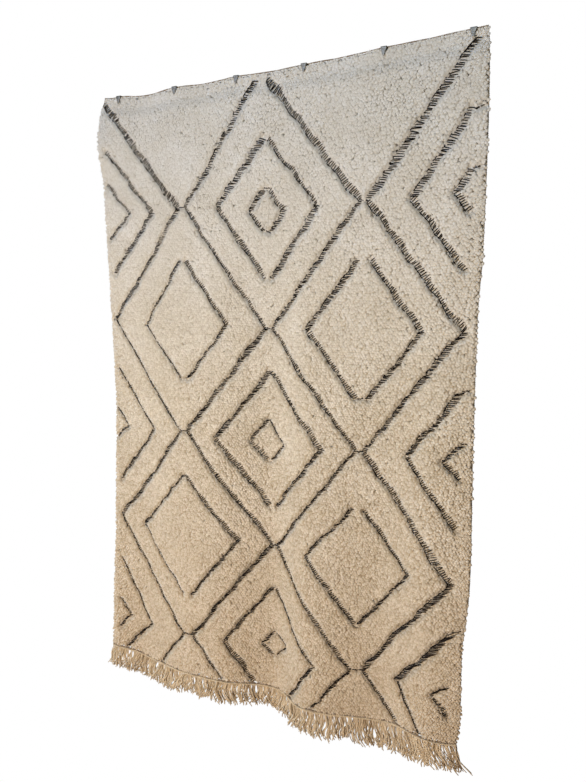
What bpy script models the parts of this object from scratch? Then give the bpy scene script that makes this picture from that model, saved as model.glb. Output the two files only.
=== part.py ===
"""Beni ourain rug hanging on six wall hooks.

Frame: metres, +Z up, X along the top edge, the front of the pile toward -Y.
The wall plane is y = 0 and the origin is the middle of the top edge on that plane.
Places on the rug are "across" (m from its middle, + to the right) and "down" (m below the top edge).
"""
import math
from collections import namedtuple

import bmesh
import bpy
from mathutils import Vector

# Rug: overall length and thickness
RUG_LENGTH = 2.50
PILE_THICKNESS = 0.022         # ground weave and pile together
EDGE_THICKNESS = 0.014         # at the top edge, where the pile parts over the hooks
THIN_TO = 0.035                # the top edge stays thin down to here
THICK_FROM = 0.080             # and is at full thickness from here
RIM_INSET = 0.008              # how far the pile rounds off at the outline
RIM_DEPTH = 0.45               # part of the thickness at which the outline stands proudest
BACK_INSET = 0.003
COLUMNS = 42
TOP_ROWS = (0.0, 0.02, 0.05, 0.09)
ROWS_BELOW = 29

# Fringe: one comb of bunches, one bunch under each column of the rug
GAP = 0.0003
FRINGE_LENGTH = 0.105
HEADING = 0.010                # depth of the band that the bunches hang from
FRINGE_THICKNESS = 0.008
FRINGE_SET_BACK = 0.004        # behind the fringe there is this much of the rug's thickness
BUNCH_ROOT = 0.86              # widths as parts of the column pitch
BUNCH_MIDDLE = 0.92
BUNCH_TIP = 0.72
SWEEP_LEFT = -0.045            # how far the tips swing aside at the two ends of the fringe
SWEEP_RIGHT = 0.035

# Hooks: a bent steel strip, its back plate on the wall, its pointed lip over the pile
HOOK_WIDTH = 0.022
HOOK_STEEL = 0.002
HOOK_CLEARANCE = 0.002
PLATE_BELOW = 0.050
LIP_LENGTH = 0.030
LIP_POINT = 0.005
LIP_FLARE = 0.003
BEND_RADIUS = 0.003
BEND_STEPS = 4

# One row for each hook; sag is how far the top edge droops between it and the next hook
Hook = namedtuple("Hook", "across height sag")
HOOKS = (
    Hook(-0.689, -0.0135, 0.010),
    Hook(-0.407, -0.009, 0.006),
    Hook(-0.123, -0.003, 0.003),
    Hook(0.158, 0.003, 0.003),
    Hook(0.454, 0.017, 0.003),
    Hook(0.748, 0.032, 0.000),
)

# Depth of the hanging rug in front of its mean surface, one row for each fold line
LEVELS = (0.0, 0.6, 1.2, 1.8, 2.5)
Fold = namedtuple("Fold", "across top high middle low foot")
FOLDS = (
    Fold(-0.80, -0.003, -0.012, -0.024, 0.012, 0.060),
    Fold(-0.66, 0.000, -0.004, -0.004, 0.012, 0.022),
    Fold(-0.39, 0.000, 0.010, 0.028, 0.044, 0.050),
    Fold(-0.24, 0.000, 0.006, 0.018, 0.034, 0.042),
    Fold(0.02, 0.000, -0.010, -0.028, -0.042, -0.034),
    Fold(0.20, 0.000, 0.000, 0.006, 0.018, 0.040),
    Fold(0.50, 0.000, 0.002, -0.008, -0.022, -0.036),
    Fold(0.70, 0.000, 0.004, 0.008, 0.018, 0.008),
    Fold(0.82, 0.000, -0.002, -0.004, 0.000, -0.022),
)
# Distance of the mean surface's back from the wall at each of the same levels
STAND_OFF = (0.009, 0.022, 0.036, 0.048, 0.052)
# The left margin swells forward just below the top corner
SWELL = 0.024
SWELL_DOWN = 0.19
SWELL_SPAN = 0.15
SWELL_WIDTH = 0.14

# Outline: the two sides, and the heights of the top and bottom edges along them
Side = namedtuple("Side", "down left right")
SIDES = (
    Side(0.00, -0.775, 0.795),
    Side(0.06, -0.797, 0.801),
    Side(0.30, -0.804, 0.810),
    Side(0.70, -0.803, 0.814),
    Side(0.85, -0.803, 0.808),
    Side(1.30, -0.804, 0.815),
    Side(1.85, -0.811, 0.831),
    Side(2.12, -0.823, 0.813),
    Side(2.40, -0.834, 0.817),
    Side(2.50, -0.838, 0.806),
)
End = namedtuple("End", "across top foot")
ENDS = (
    End(-0.84, -0.024, 0.006),
    End(-0.78, -0.011, -0.001),
    End(-0.73, -0.014, -0.012),
    End(-0.66, -0.014, -0.029),
    End(-0.60, -0.014, -0.035),
    End(-0.50, -0.0115, -0.033),
    End(-0.40, -0.009, -0.028),
    End(-0.12, -0.003, -0.018),
    End(0.12, 0.001, -0.032),
    End(0.22, 0.006, -0.020),
    End(0.45, 0.017, -0.023),
    End(0.60, 0.026, -0.006),
    End(0.75, 0.032, -0.004),
    End(0.83, 0.036, -0.003),
)


def curve(knots, values, place):
    """Smooth curve through the values: no overshoot, level at its ridges and troughs."""
    place = min(max(place, knots[0]), knots[-1])
    slopes = [(values[k + 1] - values[k]) / (knots[k + 1] - knots[k]) for k in range(len(knots) - 1)]
    span = next(k for k in range(len(slopes)) if place <= knots[k + 1])

    def tangent(k):
        if k in (0, len(slopes)):
            return slopes[min(k, len(slopes) - 1)]
        before, after = slopes[k - 1], slopes[k]
        if before * after <= 0.0:
            return 0.0
        return 2.0 * before * after / (before + after)

    width = knots[span + 1] - knots[span]
    t = (place - knots[span]) / width
    start = (1 + 2 * t) * (1 - t) ** 2 * values[span] + t * (1 - t) ** 2 * width * tangent(span)
    end = t * t * (3 - 2 * t) * values[span + 1] - t * t * (1 - t) * width * tangent(span + 1)
    return start + end


def blend(low, high, place):
    """0 below low, 1 above high, and a smooth step between."""
    t = min(max((place - low) / (high - low), 0.0), 1.0)
    return t * t * (3 - 2 * t)


def scallop(across):
    """Sag of the top edge at a place between two hooks."""
    for left, right in zip(HOOKS, HOOKS[1:]):
        if left.across <= across <= right.across:
            t = (across - left.across) / (right.across - left.across)
            return left.sag * math.sin(math.pi * t) ** 2
    return 0.0


def back_point(across, down):
    """A point of the rug's back."""
    spots = [fold.across for fold in FOLDS]
    depth = curve(spots, [curve(LEVELS, fold[1:], down) for fold in FOLDS], across)
    depth += curve(LEVELS, STAND_OFF, down)
    side = blend(-SWELL_WIDTH, 0.0, FOLDS[0].across - across)
    height = 1.0 - min(abs(down - SWELL_DOWN) / SWELL_SPAN, 1.0)
    depth += SWELL * side * blend(0.0, 1.0, height)
    places = [end.across for end in ENDS]
    top = curve(places, [end.top for end in ENDS], across) - scallop(across)
    foot = curve(places, [end.foot for end in ENDS], across) - RUG_LENGTH
    share = down / RUG_LENGTH
    return Vector((across, -depth, top * (1 - share) + foot * share))


def out_of_back(across, down):
    """Unit vector out of the rug's front at a place."""
    step = 0.004
    sideways = back_point(across + step, down) - back_point(across - step, down)
    downward = back_point(across, down + step) - back_point(across, down - step)
    return downward.cross(sideways).normalized()


def thickness(down):
    return EDGE_THICKNESS + (PILE_THICKNESS - EDGE_THICKNESS) * blend(THIN_TO, THICK_FROM, down)


def rug_point(share, down, inset, part):
    """A point at a share of the width, in from the outline by inset, at a part of the thickness."""
    downs = [side.down for side in SIDES]
    left = curve(downs, [side.left for side in SIDES], down) + inset
    right = curve(downs, [side.right for side in SIDES], down) - inset
    across = left + (right - left) * share
    down = min(max(down, inset), RUG_LENGTH - inset)
    return back_point(across, down) + out_of_back(across, down) * thickness(down) * part


def material(name, colour, roughness, metallic):
    made = bpy.data.materials.new(name)
    made.use_nodes = True
    shader = made.node_tree.nodes["Principled BSDF"]
    shader.inputs["Base Color"].default_value = (*colour, 1.0)
    shader.inputs["Roughness"].default_value = roughness
    shader.inputs["Metallic"].default_value = metallic
    return made


def finish_object(name, mesh, surface):
    """Makes an object of a bmesh, with its faces pointing out."""
    bmesh.ops.recalc_face_normals(mesh, faces=mesh.faces)
    bmesh.ops.triangulate(mesh, faces=mesh.faces)
    data = bpy.data.meshes.new(name)
    mesh.to_mesh(data)
    mesh.free()
    data.materials.append(surface)
    made = bpy.data.objects.new(name, data)
    bpy.context.scene.collection.objects.link(made)
    return made


def build_rug(surface):
    """The rug: front and back grids in its folds, joined by a rim around the outline."""
    mesh = bmesh.new()
    step = (RUG_LENGTH - TOP_ROWS[-1]) / ROWS_BELOW
    downs = list(TOP_ROWS) + [TOP_ROWS[-1] + step * (k + 1) for k in range(ROWS_BELOW)]
    shares = [k / COLUMNS for k in range(COLUMNS + 1)]
    grids = []
    for inset, part in ((RIM_INSET, 1.0), (BACK_INSET, 0.0)):
        grids.append([[mesh.verts.new(rug_point(s, d, inset, part)) for s in shares] for d in downs])
    for grid in grids:
        for upper, lower in zip(grid, grid[1:]):
            for k in range(COLUMNS):
                mesh.faces.new((upper[k], upper[k + 1], lower[k + 1], lower[k]))
    last = len(downs) - 1
    around = [(0, k) for k in range(COLUMNS)]
    around += [(k, COLUMNS) for k in range(last)]
    around += [(last, COLUMNS - k) for k in range(COLUMNS)]
    around += [(last - k, 0) for k in range(last)]
    rim = [mesh.verts.new(rug_point(shares[k], downs[r], 0.0, RIM_DEPTH)) for r, k in around]
    for grid in grids:
        for n, (row, column) in enumerate(around):
            next_row, next_column = around[(n + 1) % len(around)]
            beside = rim[(n + 1) % len(rim)]
            mesh.faces.new((grid[row][column], grid[next_row][next_column], beside, rim[n]))
    return finish_object("rug_body", mesh, surface)


def fringe_point(share, below, layer):
    """A point of the comb under the rug's lower rim; layer 0 is its back and 1 its front."""
    rim = rug_point(share, RUG_LENGTH, 0.0, RIM_DEPTH)
    out = out_of_back(rim.x, RUG_LENGTH)
    out.z = 0.0
    out.normalize()
    forward = FRINGE_SET_BACK + FRINGE_THICKNESS * layer - RIM_DEPTH * PILE_THICKNESS
    return rim + out * forward + Vector((0.0, 0.0, -GAP - below))


def build_fringe(surface):
    """The fringe: a heading band along the rug's lower edge with one swept bunch under each column."""
    mesh = bmesh.new()
    places = [k / COLUMNS for k in range(COLUMNS + 1)]
    layers = []
    for layer in (1, 0):
        top = [mesh.verts.new(fringe_point(place, 0.0, layer)) for place in places]
        low = [mesh.verts.new(fringe_point(place, HEADING, layer)) for place in places]
        outline = []
        bunches = []
        for k in range(COLUMNS):
            share = (k + 0.5) / COLUMNS
            sweep = curve((0.0, 0.45, 0.7, 1.0), (SWEEP_LEFT, -0.006, 0.004, SWEEP_RIGHT), share)
            length = FRINGE_LENGTH * (1.0 + 0.07 * math.sin(2.3 * k) + 0.05 * math.sin(5.1 * k + 1.0))
            rows = []
            for width, fall in ((BUNCH_ROOT, 0.0), (BUNCH_MIDDLE, 0.55), (BUNCH_TIP, 1.0)):
                below = HEADING + (length - HEADING) * fall
                pair = []
                for end in (-0.5, 0.5):
                    point = fringe_point(share + end * width / COLUMNS, below, layer)
                    point.x += sweep * fall
                    pair.append(mesh.verts.new(point))
                rows.append(pair)
            mesh.faces.new((top[k], top[k + 1], low[k + 1], rows[0][1], rows[0][0], low[k]))
            for upper, lower in zip(rows, rows[1:]):
                mesh.faces.new((upper[0], upper[1], lower[1], lower[0]))
            bunches.append(rows)
        outline += top
        outline += [low[-1]]
        for k in reversed(range(COLUMNS)):
            outline += [row[1] for row in bunches[k]]
            outline += [row[0] for row in reversed(bunches[k])]
            outline += [low[k]]
        layers.append(outline)
    front, back = layers
    for n in range(len(front)):
        after = (n + 1) % len(front)
        mesh.faces.new((front[n], front[after], back[after], back[n]))
    return finish_object("fringe", mesh, surface)


def hook_path(hook):
    """Middle line of the bent strip in (y, z), with the half width at each point."""
    half = HOOK_STEEL / 2
    wide = HOOK_WIDTH / 2
    top = hook.height + HOOK_CLEARANCE + half
    lip = curve(LEVELS, STAND_OFF, 0.0) + EDGE_THICKNESS + HOOK_CLEARANCE + half
    path = [(-half, hook.height - PLATE_BELOW, wide)]
    for k in range(BEND_STEPS + 1):
        turn = math.pi / 2 * k / BEND_STEPS
        away = BEND_RADIUS * (1 - math.cos(turn))
        path.append((-half - away, top - BEND_RADIUS + BEND_RADIUS * math.sin(turn), wide))
    for k in range(BEND_STEPS + 1):
        turn = math.pi / 2 * k / BEND_STEPS
        away = BEND_RADIUS * (1 - math.sin(turn))
        path.append((-lip + away, top - BEND_RADIUS + BEND_RADIUS * math.cos(turn), wide))
    path.append((-lip - LIP_FLARE * 0.3, top - LIP_LENGTH * 0.55, wide * 0.72))
    path.append((-lip - LIP_FLARE, top - LIP_LENGTH, LIP_POINT / 2))
    return path


def build_hook(number, hook, surface):
    """One hook: rectangles of strip along the bent path, joined and closed at both ends."""
    mesh = bmesh.new()
    path = hook_path(hook)
    loops = []
    for k, (y, z, wide) in enumerate(path):
        before = Vector(path[max(k - 1, 0)][:2])
        after = Vector(path[min(k + 1, len(path) - 1)][:2])
        along = (after - before).normalized()
        aside = Vector((-along.y, along.x)) * HOOK_STEEL / 2
        corners = ((-wide, aside), (wide, aside), (wide, -aside), (-wide, -aside))
        loops.append([mesh.verts.new((hook.across + x, y + o.x, z + o.y)) for x, o in corners])
    for upper, lower in zip(loops, loops[1:]):
        for k in range(4):
            mesh.faces.new((upper[k], upper[(k + 1) % 4], lower[(k + 1) % 4], lower[k]))
    mesh.faces.new(loops[0])
    mesh.faces.new(loops[-1])
    return finish_object("hook_%d" % number, mesh, surface)


def main():
    for old in list(bpy.data.objects):
        bpy.data.objects.remove(old, do_unlink=True)
    wool = material("cream_wool_pile", (0.62, 0.54, 0.42), 0.95, 0.0)
    cord = material("tan_wool_cord", (0.56, 0.42, 0.27), 0.9, 0.0)
    steel = material("galvanised_steel", (0.50, 0.51, 0.52), 0.4, 1.0)
    build_rug(wool)
    build_fringe(cord)
    for number, hook in enumerate(HOOKS, 1):
        build_hook(number, hook, steel)


main()
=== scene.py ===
"""Looks of a beni ourain rug that hangs on six wall hooks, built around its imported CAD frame.

Places on the rug are "across" (m from its middle, + to the right) and "down" (m below its top edge).
The fold and outline tables are those of the CAD part, so every piece lies in the CAD solids.
"""

import math
from collections import namedtuple

import bpy
import numpy as np
from mathutils import Matrix, Vector
from mathutils.kdtree import KDTree


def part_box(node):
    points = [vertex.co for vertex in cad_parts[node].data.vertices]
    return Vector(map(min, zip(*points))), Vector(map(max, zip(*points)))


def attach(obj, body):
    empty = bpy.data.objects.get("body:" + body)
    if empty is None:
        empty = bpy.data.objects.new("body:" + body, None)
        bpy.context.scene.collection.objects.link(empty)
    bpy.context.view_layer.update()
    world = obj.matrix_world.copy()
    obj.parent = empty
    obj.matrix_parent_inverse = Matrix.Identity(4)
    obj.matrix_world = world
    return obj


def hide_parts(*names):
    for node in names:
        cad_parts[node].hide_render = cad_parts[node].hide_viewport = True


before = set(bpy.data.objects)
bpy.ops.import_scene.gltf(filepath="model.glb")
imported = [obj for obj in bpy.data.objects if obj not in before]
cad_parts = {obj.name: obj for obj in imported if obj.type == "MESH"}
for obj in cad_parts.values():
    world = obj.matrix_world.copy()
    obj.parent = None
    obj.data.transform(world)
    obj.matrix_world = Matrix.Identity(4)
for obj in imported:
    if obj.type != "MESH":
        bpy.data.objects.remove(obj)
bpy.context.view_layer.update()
chance = np.random.default_rng(20)

# ------------ the rug's shape, as in the CAD part
RUG_LENGTH = 2.50
PILE_THICKNESS = 0.022
EDGE_THICKNESS = 0.014
THIN_TO = 0.035
THICK_FROM = 0.080
HOOK_NODES = ["hook_%d" % n for n in range(1, 7)]

LEVELS = (0.0, 0.6, 1.2, 1.8, 2.5)
Fold = namedtuple("Fold", "across top high middle low foot")
FOLDS = (
    Fold(-0.80, -0.003, -0.012, -0.024, 0.012, 0.060),
    Fold(-0.66, 0.000, -0.004, -0.004, 0.012, 0.022),
    Fold(-0.39, 0.000, 0.010, 0.028, 0.044, 0.050),
    Fold(-0.24, 0.000, 0.006, 0.018, 0.034, 0.042),
    Fold(0.02, 0.000, -0.010, -0.028, -0.042, -0.034),
    Fold(0.20, 0.000, 0.000, 0.006, 0.018, 0.040),
    Fold(0.50, 0.000, 0.002, -0.008, -0.022, -0.036),
    Fold(0.70, 0.000, 0.004, 0.008, 0.018, 0.008),
    Fold(0.82, 0.000, -0.002, -0.004, 0.000, -0.022),
)
STAND_OFF = (0.009, 0.022, 0.036, 0.048, 0.052)
SWELL = 0.024
SWELL_DOWN = 0.19
SWELL_SPAN = 0.15
SWELL_WIDTH = 0.14

Side = namedtuple("Side", "down left right")
SIDES = (
    Side(0.00, -0.775, 0.795),
    Side(0.06, -0.797, 0.801),
    Side(0.30, -0.804, 0.810),
    Side(0.70, -0.803, 0.814),
    Side(0.85, -0.803, 0.808),
    Side(1.30, -0.804, 0.815),
    Side(1.85, -0.811, 0.831),
    Side(2.12, -0.823, 0.813),
    Side(2.40, -0.834, 0.817),
    Side(2.50, -0.838, 0.806),
)
End = namedtuple("End", "across top foot")
ENDS = (
    End(-0.84, -0.024, 0.006),
    End(-0.78, -0.011, -0.001),
    End(-0.73, -0.014, -0.012),
    End(-0.66, -0.014, -0.029),
    End(-0.60, -0.014, -0.035),
    End(-0.50, -0.0115, -0.033),
    End(-0.40, -0.009, -0.028),
    End(-0.12, -0.003, -0.018),
    End(0.12, 0.001, -0.032),
    End(0.22, 0.006, -0.020),
    End(0.45, 0.017, -0.023),
    End(0.60, 0.026, -0.006),
    End(0.75, 0.032, -0.004),
    End(0.83, 0.036, -0.003),
)
HOOK_SAGS = (0.010, 0.006, 0.003, 0.003, 0.003)

# ------------ the knotted pattern, charted
# The lattice: zigzag lines between neighbouring columns, turning at every row
COLUMNS = (-0.770, -0.385, 0.000, 0.395, 0.765)
# A row slopes by its tilt, its inner corners shift, and each zigzag that turns there stops its gap away
Row = namedtuple("Row", "down tilt shift gap")
ROWS = (
    Row(0.022, 0.005, -0.016, 0.026),
    Row(0.465, 0.030, 0.002, 0.016),
    Row(0.927, 0.012, 0.004, 0.016),
    Row(1.372, 0.014, 0.000, 0.016),
    Row(1.834, 0.010, 0.012, 0.015),
    Row(2.297, -0.019, -0.006, 0.025),
    Row(2.760, 0.000, 0.000, 0.016),
)
LINK_WIDTH = 0.005  # a thin dark link joins the two zigzags there
# Line widths of each zigzag, from row to row
ZIGZAG_WIDTHS = (
    (0.021, 0.015, 0.008, 0.013, 0.009, 0.009),
    (0.016, 0.012, 0.018, 0.013, 0.015, 0.009),
    (0.019, 0.016, 0.013, 0.011, 0.011, 0.011),
    (0.022, 0.018, 0.016, 0.017, 0.018, 0.010),
)
# Whole diamonds: the middle, how much lower the right point is, the reach to each side, the rise above
# and the fall below it, half the opening at the head and at the foot, and the widths of the four sides
Ring = namedtuple("Ring", "across down tilt reach rise fall head foot"
                          " head_left head_right foot_left foot_right")
RINGS = (
    Ring(0.000, 0.470, 0.012, 0.218, 0.245, 0.265, 0.010, 0.014, 0.020, 0.013, 0.016, 0.018),
    Ring(0.000, 0.482, -0.003, 0.076, 0.075, 0.078, 0.013, 0.018, 0.016, 0.014, 0.014, 0.015),
    Ring(-0.382, 0.916, 0.001, 0.202, 0.255, 0.228, 0.014, 0.014, 0.010, 0.014, 0.006, 0.012),
    Ring(0.400, 0.930, 0.006, 0.225, 0.248, 0.248, 0.024, 0.022, 0.017, 0.016, 0.015, 0.016),
    Ring(0.005, 1.387, -0.001, 0.240, 0.288, 0.275, 0.004, 0.016, 0.018, 0.016, 0.017, 0.015),
    Ring(-0.010, 1.390, 0.000, 0.077, 0.098, 0.077, 0.004, 0.012, 0.015, 0.007, 0.014, 0.009),
    Ring(-0.388, 1.828, 0.000, 0.247, 0.270, 0.280, 0.003, 0.022, 0.008, 0.012, 0.005, 0.011),
    Ring(0.392, 1.836, 0.006, 0.212, 0.228, 0.250, 0.022, 0.006, 0.010, 0.011, 0.012, 0.012),
    Ring(0.005, 2.301, 0.002, 0.216, 0.270, 0.290, 0.006, 0.030, 0.012, 0.008, 0.016, 0.013),
    Ring(0.008, 2.290, -0.010, 0.062, 0.055, 0.055, 0.004, 0.012, 0.012, 0.004, 0.010, 0.004),
)
# Half diamonds that end near the two sides: where the upper side ends, their point, the rise and fall,
# the level tail at the upper end, the two widths, and where the lower side ends
Half = namedtuple("Half", "edge across down rise fall tail upper lower foot")
HALVES = (
    Half(-0.765, -0.536, 0.456, 0.240, 0.262, 0.000, 0.014, 0.016, -0.765),
    Half(-0.780, -0.658, 0.460, 0.115, 0.115, 0.000, 0.012, 0.009, -0.780),
    Half(-0.770, -0.558, 1.368, 0.232, 0.288, 0.000, 0.008, 0.012, -0.770),
    Half(-0.790, -0.721, 1.394, 0.070, 0.072, 0.000, 0.006, 0.009, -0.790),
    Half(-0.770, -0.620, 2.318, 0.275, 0.180, 0.000, 0.008, 0.010, -0.770),
    Half(-0.790, -0.737, 2.317, 0.070, 0.080, 0.000, 0.008, 0.009, -0.790),
    Half(0.760, 0.568, 0.486, 0.254, 0.248, 0.035, 0.019, 0.016, 0.760),
    Half(0.765, 0.716, 0.482, 0.066, 0.062, 0.025, 0.020, 0.016, 0.765),
    Half(0.770, 0.583, 1.385, 0.245, 0.246, 0.025, 0.017, 0.014, 0.770),
    Half(0.775, 0.714, 1.387, 0.060, 0.064, 0.015, 0.011, 0.013, 0.775),
    Half(0.775, 0.568, 2.301, 0.269, 0.190, 0.030, 0.022, 0.009, 0.672),
    Half(0.765, 0.709, 2.303, 0.040, 0.085, 0.000, 0.010, 0.010, 0.765),
)
# Short level strokes that close some of the openings
Link = namedtuple("Link", "across down half")
LINKS = (Link(0.000, 0.405, 0.013), Link(0.000, 0.560, 0.018), Link(0.402, 1.180, 0.022))

# ------------ sizes of the cloth and of its yarns
GROUND = 0.005  # thickness of the woven ground
GROUND_BACK = 0.0005  # its back stays this far in front of the CAD back
GROUND_UNEVEN = 0.0004
CLOTH_INSET = 0.003  # the ground ends this far inside the outline
CLOTH_STEP = 0.025
CLOTH_WIDTH = 1.64

TUFT_PITCH = 0.0102
TUFT_ROW_PITCH = TUFT_PITCH * 0.866
TUFT_STRAY = TUFT_PITCH * 0.16
TUFT_SIDES = 5
TUFT_RADIUS = 0.0085
FIRST_TUFTS = 0.004  # the first row is this far below the top edge
SIDE_MARGIN = 0.003  # tufts stand at least this far inside the sides
END_MARGIN = 0.002  # and this far inside the two ends
GRID_REACH = 0.86  # half the width in which tufts are placed before the outline trims them
# A tuft's two rings: shares of its height and radius, its painted shade as a tone from dark at the foot 0
# to none at the tip 1, and how far its sides face outwards
TuftRing = namedtuple("TuftRing", "level swell shade steep")
TUFT_RINGS = (
    TuftRing(0.60, 1.00, 0.00, 0.7),
    TuftRing(0.90, 0.66, 0.62, 1.0),
)
CONTRAST_DOWN = (0.1, 1.7)  # tufts look soft above the first place and crisp below the second
CRISP = (0.20, 0.85)  # how far each tuft shades on its own, at these two places
SOFT_PAINTED_SHADE = 0.28  # part of the painted shade between the tufts that is left at the first
SOFT_TONE = 0.35  # part of the tufts' own tones that is left there
SHOULDER = 0.015  # beside a line the pile rises to its full height over this width
VALLEY = 0.50  # part of the full height that the pile keeps in the line itself
SPLAY = 0.002  # how far tufts beside a line lean over it
EDGE_ROUND = 0.014  # the pile is lower over this width along the outline
SIDE_RISE = 0.72  # part of the full height that it keeps at the sides
END_RISE = 0.78  # and at the two ends
FRAME_REACH = 0.004  # the rug's directions are measured this far to each side
SLOPE_REACH = 0.005  # and the pile's slope this far
PILE_PIECES = 4

LINE_MARGIN = 0.006  # the lines stop this far inside the sides
LINE_TOP = 0.012  # and this far below the top edge
LINE_FOOT = 0.010  # and this far above the lower edge
FOOT_WIDER = 0.25  # the lines grow wider towards the foot by this part
BAR_STEP = 0.0080  # distance of the dark strokes along a line
BAR_RADIUS = 0.0018
BAR_HEIGHT = 0.0140  # above the rug's back
# A stroke's points from its left end -1 to its right end 1, and its lift there
BAR_POINTS = ((-1.0, -0.0030), (-0.3, 0.0), (0.45, 0.0012), (1.0, 0.0005))
BAR_TAPER = (0.9, 1.0, 1.0, 0.6)
# How much the strokes of the lines that rise to the right slope, and those of the other lines
Tilt = namedtuple("Tilt", "down slope")
TILTS = (Tilt(0.0, -0.28), Tilt(0.6, -0.05), Tilt(1.3, 0.12), Tilt(2.3, 0.42))
FALLING_TILT = 0.62
LEAST_STEEP = 0.6  # a flatter line takes strokes no longer than a line this steep
EDGE_STEP = 0.010
EDGE_RADIUS = 0.0018  # of the solid dark row on a line's left side
EDGE_SINK = 0.0015  # it lies this far below the strokes
EDGE_TONE = 0.3
MARK_STEP = 0.016  # distance of the knot backs on the reverse
MARK_HALF = 0.35  # half a knot back, as a part of the line's width
MARK_RADIUS = 0.0018
MARK_PROUD = 0.0004

CORD_PITCH = 0.00215  # distance of the fringe cords along the lower edge
CORD_RADIUS = 0.0027
CORD_TAPER = (1.0,) * 8 + (0.95, 0.8)
FRINGE_LENGTH = 0.110
FRINGE_TOP = -0.002  # height of the cords' start above the lower edge
BUNCH_WIDTH = (0.055, 0.110)  # narrowest and widest bunch of cords
BUNCH_PULL = 0.09  # how far a bunch draws together at its top
FRINGE_LAYER = (0.003, 0.0125)  # the cords lie between these distances in front of the rug's back
CURL_ASIDE = 0.018  # how far a cord's tip may curl to a side
WAVE_ASIDE = 0.0120  # how far a bunch's wave goes to a side
WAVE_TURN = 6.0  # turn of that wave from root to tip, in radians
# Along the lower edge from left 0 to right 1: how far the tips are swept aside, and the cords' length
Sweep = namedtuple("Sweep", "share aside")
SWEEPS = (Sweep(0.0, -0.052), Sweep(0.1, -0.040), Sweep(0.3, -0.014), Sweep(0.45, -0.008),
          Sweep(0.7, 0.004), Sweep(0.9, 0.024), Sweep(1.0, 0.046))
Trim = namedtuple("Trim", "share length")
TRIMS = (Trim(0.0, 1.12), Trim(0.3, 1.02), Trim(0.5, 0.90), Trim(0.7, 1.12), Trim(1.0, 1.08))

END_INSET = 0.004  # edge cords end this far inside the corners
PLY_SPREAD = 0.9  # distance of a ply from the cord's middle, in ply radii
CORD_TONE = 0.45
# The brown upper heading cord is partly brown yarn, partly painted shadow under the pile's lower edge.
Heading = namedtuple("Heading", "name below ply")
HEADINGS = (Heading("heading_upper", -0.001, 0.0017), Heading("heading_lower", 0.0065, 0.0028))

HALF_STRIP = 0.001  # half the thickness of a hook's strip
HOOK_BEND = 0.003  # radius of its two bends
HOOK_PLATE = 0.02  # height of the plain part of its back
HOOK_GAP = 0.003  # distance of the lip from the front of the hook's box
LIP_DROP = 0.030  # from the hook's top to the lip's point
LIP_FLARE = 0.003  # the lip's tip stands this far in front of its root
LIP_SHARES = (0.25, 0.45, 0.65, 0.85, 1.0)
LIP_NARROWS = 0.80  # part of the strip's width that the lip loses towards its point
LIP_FOLD = 0.0022  # height of the ridge down the lip
BEND_STEPS = 7
STRIP_POINTS = 12  # round the strip


# ------------ shape functions, on arrays of places
def curve(knots, values, place):
    """Smooth curve through the values: no overshoot, level at its ridges and troughs."""
    knots = np.asarray(knots, float)
    place = np.clip(np.asarray(place, float), knots[0], knots[-1])
    values = np.asarray(values, float).reshape(len(knots), -1) * np.ones(place.shape)
    widths = np.diff(knots)
    slopes = np.diff(values, axis=0) / widths[:, None]
    before, after = slopes[:-1], slopes[1:]
    both = before * after > 0
    inner = np.where(both, 2 * before * after / np.where(both, before + after, 1.0), 0.0)
    tangents = np.concatenate([slopes[:1], inner, slopes[-1:]])
    span = np.clip(np.searchsorted(knots, place) - 1, 0, len(widths) - 1)
    each = np.arange(len(place))
    width = widths[span]
    t = (place - knots[span]) / width
    lean, next_lean = width * tangents[span, each], width * tangents[span + 1, each]
    start = (1 + 2 * t) * (1 - t) ** 2 * values[span, each] + t * (1 - t) ** 2 * lean
    end = t * t * (3 - 2 * t) * values[span + 1, each] - t * t * (1 - t) * next_lean
    return start + end


def step(low, high, place):
    """0 below low, 1 above high, and a smooth step between."""
    t = np.clip((np.asarray(place, float) - low) / (high - low), 0.0, 1.0)
    return t * t * (3 - 2 * t)


def grow(least, low, high, place):
    """least below low, 1 above high, and a smooth step between."""
    return least + (1 - least) * step(low, high, place)


HOOK_BOXES = [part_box(name) for name in HOOK_NODES]
HOOK_PLACES = [(low[0] + high[0]) / 2 for low, high in HOOK_BOXES]


def scallop(across):
    """Sag of the top edge between two hooks."""
    sag = np.zeros_like(across)
    for left, right, depth in zip(HOOK_PLACES, HOOK_PLACES[1:], HOOK_SAGS):
        t = np.clip((across - left) / (right - left), 0.0, 1.0)
        sag += depth * np.sin(math.pi * t) ** 2
    return sag


def back_points(across, down):
    """Points of the rug's back, for arrays of places."""
    depth = curve([f.across for f in FOLDS], [curve(LEVELS, f[1:], down) for f in FOLDS], across)
    depth += curve(LEVELS, STAND_OFF, down)
    side = step(-SWELL_WIDTH, 0.0, FOLDS[0].across - across)
    height = 1.0 - np.minimum(np.abs(down - SWELL_DOWN) / SWELL_SPAN, 1.0)
    depth += SWELL * side * step(0.0, 1.0, height)
    places = [e.across for e in ENDS]
    top = curve(places, [e.top for e in ENDS], across) - scallop(across)
    foot = curve(places, [e.foot for e in ENDS], across) - RUG_LENGTH
    share = down / RUG_LENGTH
    return np.stack([across, -depth, top * (1 - share) + foot * share], axis=1)


def unit(vectors):
    return vectors / np.linalg.norm(vectors, axis=1, keepdims=True)


def sheet_frame(across, down):
    """The back's point at each place, with unit vectors out of the front, to the right and down."""
    r = FRAME_REACH
    right = back_points(across + r, down) - back_points(across - r, down)
    fall = unit(back_points(across, down + r) - back_points(across, down - r))
    out = unit(np.cross(fall, right))
    return back_points(across, down), out, unit(np.cross(out, fall)), fall


def thickness(down):
    return EDGE_THICKNESS + (PILE_THICKNESS - EDGE_THICKNESS) * step(THIN_TO, THICK_FROM, down)


def side_at(down, name):
    return curve([s.down for s in SIDES], [getattr(s, name) for s in SIDES], down)


def within_sides(across, down, margin):
    return (across > side_at(down, "left") + margin) & (across < side_at(down, "right") - margin)


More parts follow.
